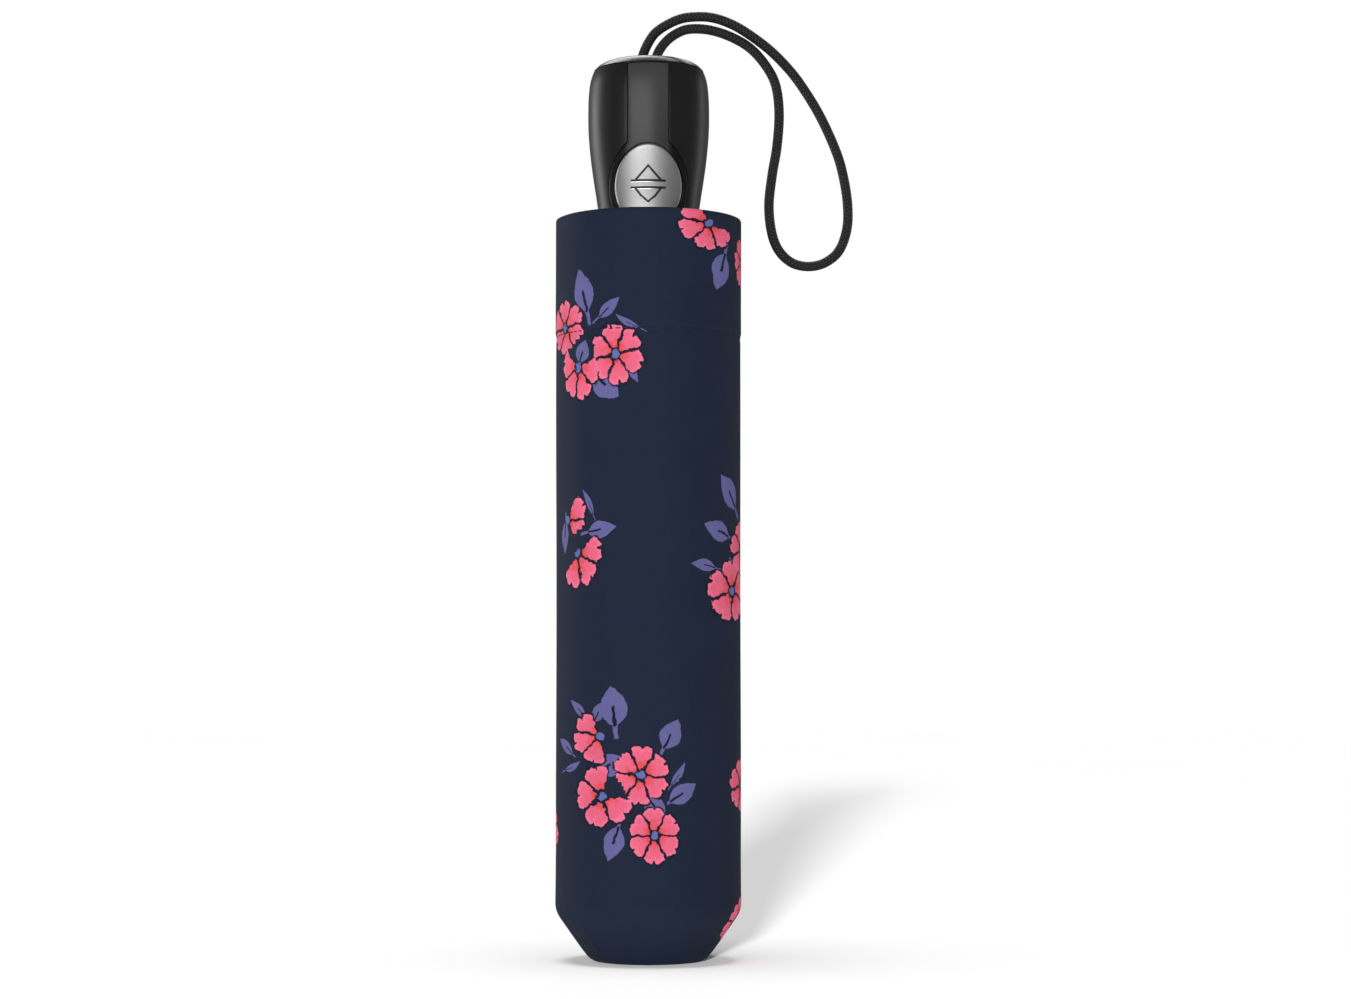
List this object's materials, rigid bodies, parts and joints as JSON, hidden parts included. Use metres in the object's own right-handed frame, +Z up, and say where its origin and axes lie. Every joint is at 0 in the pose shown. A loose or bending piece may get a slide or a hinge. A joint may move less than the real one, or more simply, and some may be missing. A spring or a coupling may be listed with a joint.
{
  "type": "folding umbrella",
  "caption": "Compact folding umbrella closed in its round fabric sleeve, standing handle up, with telescopic shaft, push button and wrist cord.",
  "frame": {"origin": "centre of the sleeve's round foot, where the closed umbrella stands", "axes": "+Z up along the shaft, from the sleeve's foot to the handle; -Y is the front, where the push button faces; the wrist cord hangs on +X"},
  "size_m": [0.0916, 0.057, 0.2925],
  "materials": {
    "navy_print": "woven polyester, printed with small flowers",
    "navy_cloth": "woven polyester",
    "satin_black": "satin moulded plastic",
    "gloss_black": "gloss moulded plastic",
    "grey_plastic": "moulded plastic",
    "silver_button": "silver metallic coating on plastic",
    "bright_steel": "plated steel",
    "dark_steel": "black painted steel",
    "steel_wire": "drawn steel wire",
    "cord_black": "braided synthetic cord"
  },
  "bodies": {
    "sleeve": {"sleeve": "navy_print"},
    "umbrella_frame": {"tip_cap": "satin_black", "crown": "satin_black", "crown_wire": "steel_wire", "runner": "satin_black", "runner_wire": "steel_wire", "upper_tube": "bright_steel", "spring_seat": "satin_black", "opening_spring": "steel_wire", "top_rib_1": "dark_steel", "top_rib_2": "dark_steel", "top_rib_3": "dark_steel", "top_rib_4": "dark_steel", "top_rib_5": "dark_steel", "top_rib_6": "dark_steel", "top_rib_7": "dark_steel", "top_rib_8": "dark_steel", "middle_rib_1": "dark_steel", "middle_rib_2": "dark_steel", "middle_rib_3": "dark_steel", "middle_rib_4": "dark_steel", "middle_rib_5": "dark_steel", "middle_rib_6": "dark_steel", "middle_rib_7": "dark_steel", "middle_rib_8": "dark_steel", "end_rib_1": "bright_steel", "end_rib_2": "bright_steel", "end_rib_3": "bright_steel", "end_rib_4": "bright_steel", "end_rib_5": "bright_steel", "end_rib_6": "bright_steel", "end_rib_7": "bright_steel", "end_rib_8": "bright_steel", "stretcher_1": "dark_steel", "stretcher_2": "dark_steel", "stretcher_3": "dark_steel", "stretcher_4": "dark_steel", "stretcher_5": "dark_steel", "stretcher_6": "dark_steel", "stretcher_7": "dark_steel", "stretcher_8": "dark_steel", "canopy": "navy_cloth", "tie_strap": "navy_cloth", "strap_snap": "satin_black"},
    "middle_section": {"middle_tube": "bright_steel"},
    "handle": {"outer_tube": "bright_steel", "tube_pin": "steel_wire", "spring_plug": "satin_black", "mechanism_housing": "grey_plastic", "handle_body": "satin_black", "front_panel": "gloss_black", "end_cap": "gloss_black", "cord_eyelet": "satin_black", "wrist_cord": "cord_black", "button_spring": "steel_wire"},
    "button": {"push_button": "silver_button", "catch_pin": "steel_wire"}
  },
  "joints": [
    {"name": "sleeve_pull", "type": "slide", "parent": "sleeve", "child": "umbrella_frame", "axis": [0, 0, 1], "range_m": [0, 0.235]},
    {"name": "upper_shaft_slide", "type": "slide", "parent": "umbrella_frame", "child": "middle_section", "axis": [0, 0, 1], "range_m": [0, 0.155]},
    {"name": "lower_shaft_slide", "type": "slide", "parent": "middle_section", "child": "handle", "axis": [0, 0, 1], "range_m": [0, 0.155]},
    {"name": "button_press", "type": "slide", "parent": "handle", "child": "button", "axis": [0, 1, 0], "range_m": [0, 0.002], "stiffness_N_per_m": 800, "springref_m": -0.003}
  ]
}
